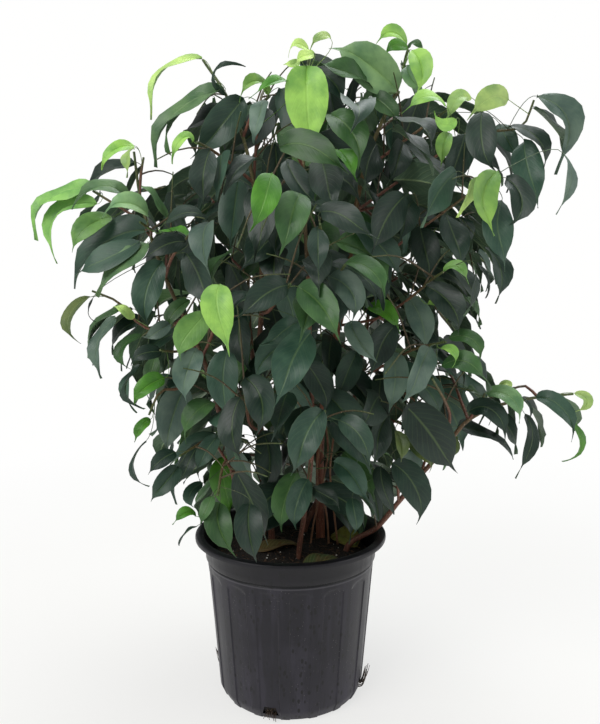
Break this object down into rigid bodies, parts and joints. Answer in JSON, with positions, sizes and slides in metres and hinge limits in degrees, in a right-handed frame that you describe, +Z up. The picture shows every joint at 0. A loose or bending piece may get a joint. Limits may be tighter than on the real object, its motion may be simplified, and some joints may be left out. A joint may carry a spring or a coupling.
{
  "type": "potted weeping fig",
  "caption": "Bushy weeping fig with arching shoots and glossy pointed leaves, growing from soil in a round black fluted nursery pot with a rolled lip.",
  "frame": {"origin": "middle of the underside of the pot, on the surface that the pot stands on", "axes": "+Z up along the pot's axis; the picture looks along +Y, with +X to its right"},
  "size_m": [0.8034, 0.6158, 0.9405],
  "materials": {
    "pot_plastic": "satin",
    "potting_mix": "matte",
    "foliage": "satin",
    "fallen_leaf": "matte"
  },
  "bodies": {
    "root": {"nursery_pot": "pot_plastic", "potting_soil": "potting_mix", "leafy_stem_left": "foliage", "leafy_stem_tall_left": "foliage", "leafy_stem_slim": "foliage", "leafy_stem_main": "foliage", "leafy_stem_low_right": "foliage", "leafy_stem_back_left": "foliage", "leafy_stem_back_right": "foliage", "fallen_leaf_1": "fallen_leaf", "fallen_leaf_2": "fallen_leaf", "fallen_leaf_3": "fallen_leaf"}
  },
  "joints": []
}
